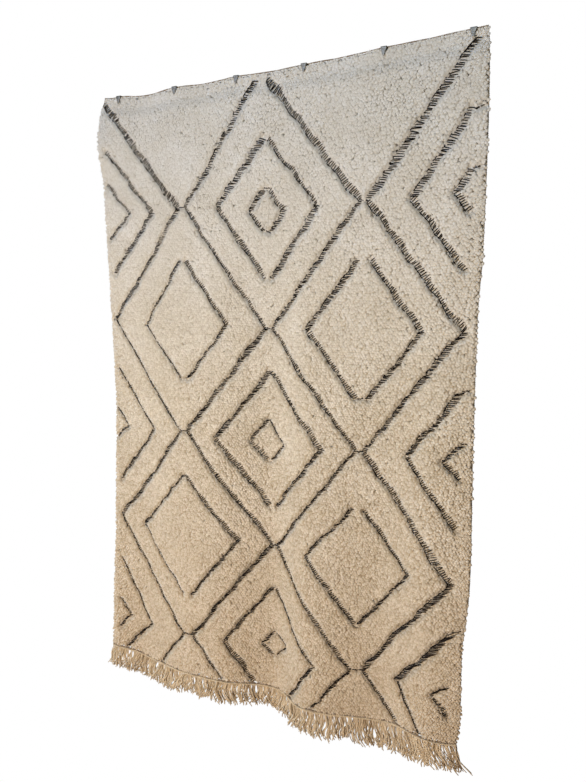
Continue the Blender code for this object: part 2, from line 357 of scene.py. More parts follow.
def ripple(across, down, size, seed):
    """Smooth unevenness between -1 and 1, with bumps about as wide as size."""
    total = np.zeros_like(across)
    for k in range(4):
        turn = seed * 1.7 + k * 2.4
        speed = 2 * math.pi / size * (0.7 + 0.23 * k)
        total += np.sin(speed * (across * math.cos(turn) + down * math.sin(turn)) + seed * 3.1 + k)
    return total / 2.6


def stray(size, count):
    """Random offsets around 0."""
    return chance.normal(0.0, size, count)


def vary(size, count):
    """Random factors around 1."""
    return 1.0 + stray(size, count)


# ------------ object and mesh helpers
CAP_BULGE = 0.8  # how far the middle of a tube's end stands out, in radii


def add_object(name, data):
    made = bpy.data.objects.new(name, data)
    bpy.context.scene.collection.objects.link(made)
    return made


def mesh_piece(name, verts, faces, surface, tone=None, uv=None):
    """A piece of triangles from arrays, with an optional colour for each vertex."""
    data = bpy.data.meshes.new(name)
    data.vertices.add(len(verts))
    data.vertices.foreach_set("co", np.asarray(verts, np.float32).ravel())
    data.loops.add(faces.size)
    data.loops.foreach_set("vertex_index", np.asarray(faces, np.int32).ravel())
    data.polygons.add(len(faces))
    data.polygons.foreach_set("loop_start", np.arange(0, faces.size, 3, dtype=np.int32))
    data.update(calc_edges=True)
    data.shade_smooth()
    if tone is not None:
        layer = data.attributes.new("tone", "FLOAT_COLOR", "POINT")
        layer.data.foreach_set("color", np.asarray(tone, np.float32).ravel())
    if uv is not None:
        layer = data.uv_layers.new(name="Yarn")
        layer.data.foreach_set("uv", np.asarray(uv[faces.ravel()], np.float32).ravel())
    data.materials.append(surface)
    piece = add_object(name, data)
    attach(piece, "root")
    return piece


def split_quads(quads):
    return np.concatenate([quads[:, [0, 1, 2]], quads[:, [0, 2, 3]]])


def ring_faces(rings, sides):
    """Triangles of the skin that joins each ring of points to the next."""
    r, k = np.meshgrid(np.arange(rings - 1), np.arange(sides), indexing="ij")
    a = (r * sides + k).ravel()
    b = (r * sides + (k + 1) % sides).ravel()
    return split_quads(np.stack([a, b, b + sides, a + sides], axis=1))


def tubes(paths, radii, sides, flatten=1.0, along=None):
    """Closed tubes along paths (tubes, rings, 3). along is a vector that is never parallel to a path."""
    count, rings = paths.shape[:2]
    tangent = np.gradient(paths, axis=1)
    tangent /= np.linalg.norm(tangent, axis=2, keepdims=True)
    along = np.broadcast_to(np.array([0.0, -1.0, 0.0]) if along is None else along, tangent.shape)
    first = np.cross(tangent, along)
    first /= np.linalg.norm(first, axis=2, keepdims=True)
    second = np.cross(first, tangent)
    turn = 2 * math.pi * np.arange(sides) / sides
    radii = np.broadcast_to(radii, (count, rings))[:, :, None, None]
    ring = first[:, :, None] * np.cos(turn)[:, None] + flatten * second[:, :, None] * np.sin(turn)[:, None]
    skin = paths[:, :, None] + radii * ring
    bulge = np.array([[-CAP_BULGE], [CAP_BULGE]])
    ends = paths[:, [0, -1]] + tangent[:, [0, -1]] * radii[:, [0, -1], 0] * bulge
    size = rings * sides + 2
    verts = np.concatenate([skin.reshape(count, -1, 3), ends], axis=1).reshape(-1, 3)
    k = np.arange(sides)
    after = (k + 1) % sides
    last = (rings - 1) * sides
    start = np.stack([np.full(sides, size - 2), after, k], axis=1)
    end = np.stack([np.full(sides, size - 1), last + k, last + after], axis=1)
    faces = np.concatenate([ring_faces(rings, sides), start, end])
    faces = (faces[None] + size * np.arange(count)[:, None, None]).reshape(-1, 3)
    length = np.linalg.norm(np.diff(paths, axis=1), axis=2).cumsum(axis=1)
    length = np.concatenate([np.zeros((count, 1)), length], axis=1)
    run = np.repeat(length, sides, axis=1)
    around = np.tile(np.arange(sides) / sides, (count, rings))
    uv = np.stack([np.concatenate([around, np.zeros((count, 2))], axis=1),
                   np.concatenate([run, length[:, [0, -1]]], axis=1)], axis=2)
    return verts, faces[:, ::-1], uv.reshape(-1, 2)


def own_tones(count, verts):
    """A random tone for each of count equal pieces that share one list of points."""
    return np.repeat(chance.uniform(0.0, 1.0, count), len(verts) // count)[:, None] * np.ones(4)


def twisted(path, ply_radius, pitch, aside):
    """Two yarns wound round each other along one path; aside is a unit vector for each point."""
    tangent = unit(np.gradient(path, axis=0))
    first = unit(np.cross(tangent, aside))
    second = np.cross(first, tangent)
    run = np.concatenate([[0.0], np.linalg.norm(np.diff(path, axis=0), axis=1).cumsum()])
    plies = []
    for start in (0.0, math.pi):
        turn = (2 * math.pi * run / pitch + start)[:, None]
        plies.append(path + ply_radius * (first * np.cos(turn) + second * np.sin(turn)))
    return np.stack(plies)


# ------------ materials
SHEEN_ROUGHNESS = 0.6
WOOL_GLOSS = 0.15  # specular level of wool and of the floor
METAL_GLOSS = 0.5


def put(tree, socket, value):
    """Gives a socket a value or a link."""
    if isinstance(value, bpy.types.NodeSocket):
        tree.links.new(value, socket)
    else:
        socket.default_value = value


def fill(tree, made, **settings):
    """Fills in a node's inputs by name, _ standing for a space; other names are its own settings."""
    for name, value in settings.items():
        label = name.replace("_", " ")
        if label in made.inputs:
            put(tree, made.inputs[label], value)
        else:
            setattr(made, name, value)
    return made


def node(tree, kind, **settings):
    return fill(tree, tree.nodes.new("ShaderNode" + kind), **settings)


def shader_tree(name, roughness, metallic=0.0, sheen=0.0):
    made = bpy.data.materials.new(name)
    made.use_nodes = True
    tree = made.node_tree
    shader = fill(tree, tree.nodes["Principled BSDF"], Roughness=roughness, Metallic=metallic,
                  Sheen_Weight=sheen, Sheen_Roughness=SHEEN_ROUGHNESS,
                  Specular_IOR_Level=METAL_GLOSS if metallic else WOOL_GLOSS)
    return made, tree, shader


def cover(tree, shader, colour, relief, distance):
    """Links a surface's colour and its relief, which is distance deep."""
    relief = node(tree, "Bump", Strength=1.0, Distance=distance, Height=relief)
    fill(tree, shader, Base_Color=colour, Normal=relief.outputs["Normal"])


def object_place(tree):
    return node(tree, "TexCoord").outputs["Object"]


def own_tone(tree):
    return node(tree, "Attribute", attribute_name="tone").outputs


def ramp(tree, source, stops):
    """Colours between stops of (place, colour)."""
    made = node(tree, "ValToRGB", Fac=source)
    stop = made.color_ramp.elements
    while len(stop) < len(stops):
        stop.new(0.5)
    for element, (place, colour) in zip(stop, stops):
        element.position = place
        element.color = (*colour, 1.0)
    return made.outputs["Color"]


def multiply(tree, product, *factors):
    for factor in factors:
        made = node(tree, "Mix", data_type="RGBA", blend_type="MULTIPLY", Factor=1.0, A=product, B=factor)
        product = made.outputs["Result"]
    return product


def arithmetic(tree, operation, *values):
    made = node(tree, "Math", operation=operation)
    for socket, value in zip(made.inputs, values):
        put(tree, socket, value)
    return made.outputs["Value"]


def noise(tree, place, scale, detail=2.0):
    return node(tree, "TexNoise", Scale=scale, Detail=detail, Vector=place).outputs["Fac"]


WHITE = (1.0, 1.0, 1.0)
# The wool's colour by height: yellower at the foot, greyer and a little darker at the top. Part of this
# change is painted light, warm light from below and cool, dimmer light above.
WOOL_AND_PAINTED_LIGHT_BY_HEIGHT = (  # from the foot 0 to the top 1, partly painted light
    (0.0, (0.73, 0.61, 0.47)),
    (0.5, (0.79, 0.715, 0.60)),
    (1.0, (0.68, 0.665, 0.63)),
)


def pile_material():
    """Cream wool: yellower towards the foot and greyer at the top, which is partly painted light; darker
    down between the tufts, which is painted shade; fine fibres.
    """
    made, tree, shader = shader_tree("cream_wool", 0.95, sheen=0.25)
    place = object_place(tree)
    split = node(tree, "SeparateXYZ", Vector=place)
    height = node(tree, "MapRange", From_Min=-RUG_LENGTH, From_Max=0.0, Value=split.outputs["Z"])
    base = ramp(tree, height.outputs["Result"], WOOL_AND_PAINTED_LIGHT_BY_HEIGHT)
    parts = node(tree, "SeparateColor", Color=own_tone(tree)["Color"])
    each = ramp(tree, parts.outputs["Red"], ((0.0, (0.74, 0.70, 0.63)), (1.0, WHITE)))
    # painted shade: darker and browner down between the tufts, more so towards the foot
    depth = ramp(tree, parts.outputs["Green"], ((0.0, (0.68, 0.60, 0.49)), (1.0, WHITE)))
    patches = noise(tree, place, scale=5.0, detail=3.0)
    patches = ramp(tree, patches, ((0.3, (0.90, 0.88, 0.84)), (0.7, WHITE)))
    colour = multiply(tree, base, each, depth, patches)
    cover(tree, shader, colour, noise(tree, place, scale=700.0), distance=0.0012)
    return made


def ground_material():
    """The woven ground: rows of weft over the warp, grey-cream, with painted shade in the grooves between
    the rows.
    """
    made, tree, shader = shader_tree("ground_weave", 0.95, sheen=0.1)
    place = object_place(tree)
    rows = node(tree, "TexWave", Scale=90.0, Distortion=2.0, Detail_Scale=4.0, bands_direction="Z",
                Vector=place)
    warp = node(tree, "TexWave", Scale=60.0, Distortion=1.0, bands_direction="X", Vector=place)
    both = arithmetic(tree, "ADD", rows.outputs["Fac"], warp.outputs["Fac"])
    base = noise(tree, place, scale=14.0, detail=4.0)
    base = ramp(tree, base, ((0.3, (0.50, 0.45, 0.37)), (0.7, (0.66, 0.62, 0.54))))
    # painted shade: darker in the grooves between the weft rows
    shade = ramp(tree, rows.outputs["Fac"], ((0.0, (0.70, 0.66, 0.60)), (0.6, WHITE)))
    cover(tree, shader, multiply(tree, base, shade), both, distance=0.0015)
    return made


def dark_material():
    """Dark brown, almost black wool yarn."""
    made, tree, shader = shader_tree("dark_wool", 0.95)
    place = object_place(tree)
    base = ramp(tree, own_tone(tree)["Fac"],
                ((0.0, (0.008, 0.006, 0.005)), (0.7, (0.020, 0.015, 0.012)), (1.0, (0.050, 0.038, 0.030))))
    cover(tree, shader, base, noise(tree, place, scale=900.0), distance=0.0008)
    return made


def cord_material(name, light, dark, pitch):
    """Twisted wool cord: slanting strands round it, from its own along and around map, with painted shade in
    the grooves between the strands.
    """
    made, tree, shader = shader_tree(name, 0.9, sheen=0.15)
    uv = node(tree, "UVMap", uv_map="Yarn")
    split = node(tree, "SeparateXYZ", Vector=uv.outputs["UV"])
    turns = arithmetic(tree, "MULTIPLY_ADD", split.outputs["Y"], 1.0 / pitch, split.outputs["X"])
    strand = arithmetic(tree, "PINGPONG", turns, 0.25)
    place = object_place(tree)
    blotch = ramp(tree, noise(tree, place, scale=60.0, detail=3.0), ((0.3, dark), (0.7, light)))
    # painted shade: darker in the grooves between the strands
    painted_groove_shade = ramp(tree, strand, ((0.0, (0.56, 0.48, 0.38)), (0.14, WHITE)))
    each = ramp(tree, own_tone(tree)["Fac"],
                ((0.0, (0.52, 0.45, 0.36)), (0.5, (0.92, 0.90, 0.86)), (1.0, WHITE)))
    cover(tree, shader, multiply(tree, blotch, painted_groove_shade, each), strand, distance=0.002)
    return made


def steel_material():
    """Galvanised steel: dull spangle and fine scratches."""
    made, tree, shader = shader_tree("galvanised_steel", 0.6, metallic=1.0)
    place = object_place(tree)
    spangle = node(tree, "TexVoronoi", Scale=180.0, Vector=place)
    base = ramp(tree, spangle.outputs["Distance"], ((0.0, (0.26, 0.25, 0.23)), (1.0, (0.46, 0.45, 0.42))))
    rough = node(tree, "MapRange", To_Min=0.50, To_Max=0.75,
                 Value=noise(tree, place, scale=240.0, detail=4.0))
    fill(tree, shader, Roughness=rough.outputs["Result"])
    cover(tree, shader, base, noise(tree, place, scale=500.0), distance=0.0002)
    return made


# ------------ the pattern's lines
TAIL_RISE = 0.004  # a half diamond's tail rises by this much
SEARCH_STEP = 0.003  # distance of the places that stand for a line when the nearest one is looked for


def chart_lines():
    """Every straight stretch of the pattern: its two ends and its width."""
    lines = []
    for k, widths in enumerate(ZIGZAG_WIDTHS):
        corners = []
        for i, row in enumerate(ROWS):
            j = k if (k + i) % 2 == 0 else k + 1
            inner = 0 < j < len(COLUMNS) - 1
            across = COLUMNS[j] + row.shift * inner
            down = row.down + row.tilt * COLUMNS[j]
            gap = (row.gap if j == k else -row.gap) if inner else 0.0
            corners.append((across + gap, down))
            if inner and j == k and 0 < i < len(ROWS) - 1:
                lines.append(((across - gap, down), (across + gap, down), LINK_WIDTH))
        lines += list(zip(corners, corners[1:], widths))
    for r in RINGS:
        for side, upper, lower in ((-1, r.head_left, r.foot_left), (1, r.head_right, r.foot_right)):
            point = (r.across + side * r.reach, r.down + side * r.tilt)
            lines.append(((r.across + side * r.head, r.down - r.rise), point, upper))
            lines.append((point, (r.across + side * r.foot, r.down + r.fall), lower))
    for h in HALVES:
        lines.append(((h.edge, h.down - h.rise), (h.across, h.down), h.upper))
        lines.append(((h.across, h.down), (h.foot, h.down + h.fall), h.lower))
        if h.tail:
            tail = (h.edge + h.tail, h.down - h.rise - TAIL_RISE)
            lines.append(((h.edge, h.down - h.rise), tail, LINK_WIDTH))
    lines += [((n.across - n.half, n.down), (n.across + n.half, n.down), LINK_WIDTH) for n in LINKS]
    return lines


def walk_line(start, end, width, spacing):
    """Places along one stretch with its direction and its width there: hand-made, so it wanders."""
    start, end = np.array(start), np.array(end)
    length = np.linalg.norm(end - start)
    count = max(int(length / spacing), 2)
    share = (np.arange(count) + 0.5) / count
    tangent = (end - start) / length
    spots = start + (end - start) * share[:, None]
    across, down = spots[:, 0], spots[:, 1]
    wander = 0.0040 * ripple(across, down, 0.11, 1.0) + 0.0016 * ripple(across, down, 0.04, 2.0)
    spots = spots + np.array([-tangent[1], tangent[0]]) * wander[:, None]
    wide = width * (1.0 + 0.28 * ripple(across, down, 0.13, 3.0))
    wide = wide * (1.0 + FOOT_WIDER * step(1.3, 2.1, down))
    inside = within_sides(spots[:, 0], spots[:, 1], LINE_MARGIN)
    inside &= (spots[:, 1] > LINE_TOP) & (spots[:, 1] < RUG_LENGTH - LINE_FOOT)
    return spots[inside], np.tile(tangent, (inside.sum(), 1)), wide[inside]


def walk_lines(spacing):
    """walk_line along the whole pattern, joined: places, directions and widths."""
    walks = [walk_line(*line, spacing) for line in chart_lines()]
    return map(np.concatenate, zip(*walks))


def line_distance(across, down):
    """Distance of each place to the nearest line's edge, and the unit direction towards that line."""
    spots, _, widths = walk_lines(SEARCH_STEP)
    tree = KDTree(len(spots))
    for k, spot in enumerate(spots):
        tree.insert((spot[0], spot[1], 0.0), k)
    tree.balance()
    found = [tree.find((a, d, 0.0)) for a, d in zip(across, down)]
    nearest = np.array([f[1] for f in found])
    away = np.array([f[2] for f in found])
    towards = spots[nearest] - np.stack([across, down], axis=1)
    towards /= np.maximum(np.linalg.norm(towards, axis=1, keepdims=True), 1e-6)
    return away - widths[nearest] / 2, towards


def line_tilt(tangents, down):
    """Whether a line falls to the right at each place, and how much the strokes across it slope."""
    falling = tangents[:, 0] * tangents[:, 1] > 0
    return falling, np.where(falling, FALLING_TILT, curve(*zip(*TILTS), down))


def half_across(tangents, widths):
    """Half the width of a line, measured level across the rug."""
    return widths / np.maximum(np.abs(tangents[:, 1]), LEAST_STEEP) / 2


def pile_rise(beyond):
    """Part of the full pile height at a distance beyond a line's edge."""
    return VALLEY + (1 - VALLEY) * step(-0.003, SHOULDER, beyond) ** 0.8


# ------------ the pieces
def build_cloth(surface):
    """The woven ground: one closed thin sheet on the rug's folds."""
    rows = int(RUG_LENGTH / CLOTH_STEP)
    columns = int(CLOTH_WIDTH / CLOTH_STEP)
    down = np.repeat(np.linspace(CLOTH_INSET, RUG_LENGTH - CLOTH_INSET, rows + 1), columns + 1)
    share = np.tile(np.linspace(0.0, 1.0, columns + 1), rows + 1)
    left = side_at(down, "left") + CLOTH_INSET
    right = side_at(down, "right") - CLOTH_INSET
    across = left + (right - left) * share
    back, out, _, _ = sheet_frame(across, down)
    lift = GROUND_UNEVEN * ripple(across, down, 0.09, 5.0)[:, None]
    count = len(across)
    verts = np.concatenate([back + out * (GROUND + lift), back + out * GROUND_BACK])
    r, k = np.meshgrid(np.arange(rows), np.arange(columns), indexing="ij")
    a = (r * (columns + 1) + k).ravel()
    front = np.stack([a, a + columns + 1, a + columns + 2, a + 1], axis=1)
    behind = front[:, ::-1] + count
    around = list(range(columns + 1))
    around += [(k + 1) * (columns + 1) + columns for k in range(rows)]
    around += [rows * (columns + 1) + columns - 1 - k for k in range(columns)]
    around += [(rows - 1 - k) * (columns + 1) for k in range(rows - 1)]
    around = np.array(around)
    after = np.roll(around, -1)
    rim = np.stack([around, after, after + count, around + count], axis=1)
    faces = np.concatenate([split_quads(q) for q in (front, behind, rim)])
    return mesh_piece("rug_cloth", verts, faces, surface)


def tuft_places():
    """Where the tufts stand: a triangular grid, a little astray, inside the rug's outline."""
    rows = np.arange(FIRST_TUFTS, RUG_LENGTH - END_MARGIN, TUFT_ROW_PITCH)
    columns = np.arange(-GRID_REACH, GRID_REACH, TUFT_PITCH)
    every_other = np.repeat(np.arange(len(rows)) % 2, len(columns))
    down = np.repeat(rows, len(columns))
    across = np.tile(columns, len(rows)) + every_other * TUFT_PITCH / 2
    across = across + stray(TUFT_STRAY, len(across))
    down = down + stray(TUFT_STRAY, len(down))
    inside = within_sides(across, down, SIDE_MARGIN)
    inside &= (down > END_MARGIN) & (down < RUG_LENGTH - END_MARGIN)
    return across[inside], down[inside]


def tuft_leans(across, down, beyond, towards, near_side, near_end):
    """How far each tuft's tip leans to the right and down: splayed over the lines and over the edges."""
    splay = SPLAY * (1 - step(0.0, SHOULDER * 0.8, beyond)) * step(-0.002, 0.003, beyond)
    lean = towards * splay[:, None]
    # the whole pile hangs a little down and to the right, unevenly
    lean[:, 0] += 0.0006 + 0.0014 * ripple(across, down, 0.3, 7.0)
    lean[:, 1] += 0.0026 + 0.0012 * ripple(across, down, 0.25, 8.0)
    lean += stray(0.0009, (len(across), 2))
    outward = 0.0012 * (1 - step(0.0, 0.015, near_side))
    lean[:, 0] += np.where(across < 0, -outward, outward)
    lean[:, 1] -= np.where(down < 1.0, 0.0022, 0.0) * (1 - step(0.0, 0.015, near_end))
    return lean


def grow_tufts():
    """Every tuft's place, height, lean, radius and turn. Tufts are lower in and beside the lines."""
    across, down = tuft_places()
    beyond, towards = line_distance(across, down)
    count = len(across)
    near_side = np.minimum(across - side_at(down, "left"), side_at(down, "right") - across)
    near_end = np.minimum(down, RUG_LENGTH - down)
    rise = pile_rise(beyond)
    rise *= grow(SIDE_RISE, 0.0, EDGE_ROUND, near_side)
    rise *= grow(END_RISE, 0.0, EDGE_ROUND, near_end)
    waves = 0.035 * ripple(across, down, 0.16, 6.0) + 0.030 * ripple(across, down, 0.045, 10.0)
    height = thickness(down) * rise * (1.0 + waves) * vary(0.035, count)
    lean = tuft_leans(across, down, beyond, towards, near_side, near_end)
    radius = TUFT_RADIUS * vary(0.08, count)
    radius = radius * grow(0.72, 0.004, EDGE_ROUND, near_end) * grow(0.80, 0.004, 0.018, near_side)
    turn = chance.uniform(0.0, 2 * math.pi, count)
    return across, down, height, lean, radius, turn


def tuft_faces():
    """One tuft's triangles: a skirt between its two rings and a crown up to its tip."""
    k = np.arange(TUFT_SIDES)
    after = (k + 1) % TUFT_SIDES
    skirt = np.stack([k, after, after + TUFT_SIDES, k + TUFT_SIDES], axis=1)
    crown = np.stack([k + TUFT_SIDES, after + TUFT_SIDES, np.full(TUFT_SIDES, 2 * TUFT_SIDES)], axis=1)
    return np.concatenate([split_quads(skirt), crown])[:, ::-1]


def build_pile(surface):
    """The pile: thousands of small leaning tufts, shaded partly by the pile's smooth slope, with painted
    shade down between them.
    """
    across, down, height, lean, radius, turn = grow_tufts()
    count = len(across)
    base, out, right, fall = sheet_frame(across, down)
    low = step(*CONTRAST_DOWN, down)
    crisp = (CRISP[0] + (CRISP[1] - CRISP[0]) * low)[:, None]
    layers, painted_shades, normals = [], [], []
    for ring in TUFT_RINGS:
        for k in range(TUFT_SIDES):
            angle = turn + 2 * math.pi * k / TUFT_SIDES + ring.level
            wide = radius * ring.swell * vary(0.08, count)
            aside = wide * np.cos(angle) + lean[:, 0] * ring.level ** 1.5
            below = wide * np.sin(angle) + lean[:, 1] * ring.level ** 1.5
            high = height * (ring.level + stray(0.02, count))
            layers.append(base + out * high[:, None] + right * aside[:, None] + fall * below[:, None])
            # painted shade: the lower a ring sits, the darker its tone, more so towards the foot
            painted_shades.append(1.0 - (1.0 - ring.shade) * (SOFT_PAINTED_SHADE + (1.0 - SOFT_PAINTED_SHADE) * low))
            around = right * np.cos(angle)[:, None] + fall * np.sin(angle)[:, None]
            normals.append(unit(out + ring.steep * crisp * around))
    layers.append(base + out * height[:, None] + right * lean[:, :1] + fall * lean[:, 1:])
    painted_shades.append(np.ones(count))
    normals.append(out)
    slope = unit(pile_slope(across, down, out, right, fall))
    normals = np.stack([unit(n + slope - out) for n in normals], axis=1)
    verts = np.stack(layers, axis=1)
    tone = np.zeros((count, len(layers), 4))
    tone[:, :, 0] = (1.0 - chance.uniform(0.0, 1.0, count) * (SOFT_TONE + (1.0 - SOFT_TONE) * low))[:, None]
    # green carries the painted shade between the tufts
    tone[:, :, 1] = np.stack(painted_shades, axis=1)
    tone[:, :, 3] = 1.0
    pieces = []
    for number, chosen in enumerate(np.array_split(np.argsort(down), PILE_PIECES), 1):
        faces = tuft_faces()[None] + len(layers) * np.arange(len(chosen))[:, None, None]
        piece = mesh_piece("pile_%d" % number, verts[chosen].reshape(-1, 3), faces.reshape(-1, 3),
                           surface, tone[chosen].reshape(-1, 4))
        facing = normals[chosen].reshape(-1, 3).astype(np.float32)
        piece.data.normals_split_custom_set_from_vertices(facing)
        pieces.append(piece)
    return pieces


def pile_level(across, down):
    """Height of the smooth top of the pile."""
    return thickness(down) * pile_rise(line_distance(across, down)[0])


def pile_slope(across, down, out, right, fall):
    """Direction that the smooth top of the pile faces: it falls towards the lines."""
    r = SLOPE_REACH
    to_right = (pile_level(across + r, down) - pile_level(across - r, down)) / (2 * r)
    to_foot = (pile_level(across, down + r) - pile_level(across, down - r)) / (2 * r)
    return out - right * to_right[:, None] - fall * to_foot[:, None]


def build_bars(surface):
    """The dark strokes across the lines: short yarns that rise from the line's left side."""
    places, tangents, widths = walk_lines(BAR_STEP)
    count = len(places)
    falling, tilt = line_tilt(tangents, places[:, 1])
    tilt = tilt + 0.15 * ripple(places[:, 0], places[:, 1], 0.2, 9.0) + stray(0.10, count)
    half = half_across(tangents, widths) * (1.05 + stray(0.12, count))
    half = half * np.where(falling, 0.9, 1.05)
    shift = stray(0.0010, (count, 2))
    paths = []
    for t, lift in BAR_POINTS:
        across = places[:, 0] + shift[:, 0] + half * t * np.cos(tilt)
        down = places[:, 1] + shift[:, 1] - half * t * np.sin(tilt)
        base, out, _, _ = sheet_frame(across, down)
        paths.append(base + out * (BAR_HEIGHT + lift + stray(0.0006, count))[:, None])
    radii = BAR_RADIUS * vary(0.14, count)[:, None]
    verts, faces, _ = tubes(np.stack(paths, axis=1), radii * np.array(BAR_TAPER), 4)
    return mesh_piece("line_yarns", verts, faces, surface, own_tones(count, verts))


def build_line_edges(surface):
    """The solid dark row on the left side of every line."""
    all_verts, all_faces, used = [], [], 0
    for start, end, width in chart_lines():
        spots, tangents, widths = walk_line(start, end, width, EDGE_STEP)
        if len(spots) < 3:
            continue
        tilt = line_tilt(tangents, spots[:, 1])[1][0]
        reach = np.maximum(half_across(tangents, widths) - 0.0005, 0.0) * (width > LINK_WIDTH)
        across = spots[:, 0] - reach * math.cos(tilt)
        down = spots[:, 1] + reach * math.sin(tilt)
        base, out, _, _ = sheet_frame(across, down)
        high = BAR_HEIGHT - EDGE_SINK + stray(0.0005, len(spots))
        radii = EDGE_RADIUS * chance.uniform(0.6, 1.5, len(spots))
        verts, faces, _ = tubes((base + out * high[:, None])[None], radii[None], 4)
        all_verts.append(verts)
        all_faces.append(faces + used)
        used += len(verts)
    return mesh_piece("line_edges", np.concatenate(all_verts), np.concatenate(all_faces), surface,
                      np.full((used, 4), EDGE_TONE))


def build_back_marks(surface):
    """The same lines as small dark knot backs on the rug's reverse."""
    places, _, widths = walk_lines(MARK_STEP)
    paths = []
    for side in (-1.0, 1.0):
        across = places[:, 0] + side * widths * MARK_HALF
        base, out, _, _ = sheet_frame(across, places[:, 1])
        paths.append(base - out * MARK_PROUD)
    verts, faces, _ = tubes(np.stack(paths, axis=1), MARK_RADIUS, 4, flatten=0.6)
    return mesh_piece("back_marks", verts, faces, surface, own_tones(len(places), verts))


def row_ends(down):
    """Left and right end of a row of cords at one place down."""
    place = np.array([down])
    return side_at(place, "left")[0] + END_INSET, side_at(place, "right")[0] - END_INSET


def bunch_cords(left, right, start):
    """Limits of the bunches along the lower edge, and the number of each cord's bunch."""
    limits = [left]
    while limits[-1] < right:
        limits.append(limits[-1] + chance.uniform(*BUNCH_WIDTH))
    limits = np.array(limits)
    return limits, np.clip(np.searchsorted(limits, start) - 1, 0, len(limits) - 2)


def build_fringe(surface):
    """The fringe: loose curled cords in bunches, swept aside towards the two ends."""
    left, right = row_ends(RUG_LENGTH)
    count = int((right - left) / CORD_PITCH)
    share = (np.arange(count) + 0.5) / count
    start = left + (right - left) * share + stray(0.0012, count)
    limits, bunch = bunch_cords(left, right, start)
    middle = (limits[bunch] + limits[bunch + 1]) / 2
    root = start + (middle - start) * BUNCH_PULL
    sweep = curve(*zip(*SWEEPS), share)
    sweep += stray(0.012, count) + stray(0.004, len(limits))[bunch]
    length = FRINGE_LENGTH * curve(*zip(*TRIMS), share)
    length *= vary(0.06, count)
    length *= vary(0.05, len(limits))[bunch]
    curl = chance.uniform(-1.0, 1.0, count)
    phase = chance.uniform(0.0, 2 * math.pi, len(limits))[bunch] + stray(0.9, count)
    layer = chance.uniform(*FRINGE_LAYER, count)
    base, out, _, _ = sheet_frame(root, np.full(count, RUG_LENGTH))
    out[:, 2] = 0.0
    out = unit(out)
    paths = []
    for t in np.linspace(0.0, 1.0, len(CORD_TAPER)):
        point = base + out * (layer + 0.004 * math.sin(math.pi * t) + 0.004 * curl * t * t)[:, None]
        spread = (start - root) * step(0.0, 0.5, t)
        wave = WAVE_ASIDE * np.sin(phase + WAVE_TURN * t) * t ** 0.5
        point[:, 0] += spread + sweep * t ** 1.6 + wave + CURL_ASIDE * curl * t ** 3
        point[:, 2] += FRINGE_TOP - (length + FRINGE_TOP) * t
        paths.append(point)
    radii = CORD_RADIUS * vary(0.08, count)[:, None]
    verts, faces, uv = tubes(np.stack(paths, axis=1), radii * np.array(CORD_TAPER), 4)
    return mesh_piece("fringe_cords", verts, faces, surface, own_tones(count, verts), uv)


def build_cord(name, across, down, surface, out_by, ply, pitch, below_by=0.0):
    """A two-ply cord along a row of places, out_by in front of the rug's back."""
    base, out, _, fall = sheet_frame(across, down)
    plies = twisted(base + out * out_by + fall * below_by, ply * PLY_SPREAD, pitch, out)
    verts, faces, uv = tubes(plies, ply, 5, along=np.broadcast_to(out, plies.shape))
    return mesh_piece(name, verts, faces, surface, np.full((len(verts), 4), CORD_TONE), uv)


def build_edge_cords(tan, brown, cream):
    """The twined cords above the fringe, the cord along the top edge and the two side edges.
    The brown upper heading cord and the brown top cord are partly brown yarn, partly painted shadow
    under the pile's lower edge and along the top edge.
    """
    points = 300
    pieces = []
    across = np.linspace(*row_ends(RUG_LENGTH), points)
    for heading, surface in zip(HEADINGS, (brown, tan)):
        pieces.append(build_cord(heading.name, across, np.full(points, RUG_LENGTH), surface,
                                 out_by=0.0155, ply=heading.ply, pitch=0.012, below_by=heading.below))
    across = np.linspace(*row_ends(0.0), points)
    # the brown top cord is partly brown yarn, partly painted shadow along the top edge
    pieces.append(build_cord("top_cord", across, np.full(points, 0.0), brown,
                             out_by=0.0050, ply=0.0018, pitch=0.010, below_by=-0.001))
    down = np.linspace(END_INSET, RUG_LENGTH - END_INSET, 380)
    for name, sign in (("left", 1.0), ("right", -1.0)):
        across = side_at(down, name) + sign * 0.005
        pieces.append(build_cord("side_cord_" + name, across, down, cream,
                                 out_by=0.004, ply=0.0022, pitch=0.016))
    return pieces


def hook_path(low, high, wide):
    """A hook's middle line, from the wall plate over the rug's edge to the lip's point: y, z, half width."""
    lip = -low.y - HOOK_GAP - HALF_STRIP
    bend_from = high.z - HALF_STRIP - HOOK_BEND
    path = [(-HALF_STRIP, low.z, wide), (-HALF_STRIP, low.z + HOOK_PLATE, wide)]
    turns = [math.pi / 2 * k / BEND_STEPS for k in range(BEND_STEPS + 1)]
    for turn in turns:
        path.append((-HALF_STRIP - HOOK_BEND * (1 - math.cos(turn)), bend_from + HOOK_BEND * math.sin(turn),
                     wide))
    for turn in turns:
        path.append((-lip + HOOK_BEND * (1 - math.sin(turn)), bend_from + HOOK_BEND * math.cos(turn), wide))
    for t in LIP_SHARES:
        path.append((-lip - LIP_FLARE * t * t, bend_from - (LIP_DROP - HOOK_BEND) * t,
                     wide * (1.0 - LIP_NARROWS * t)))
    return path


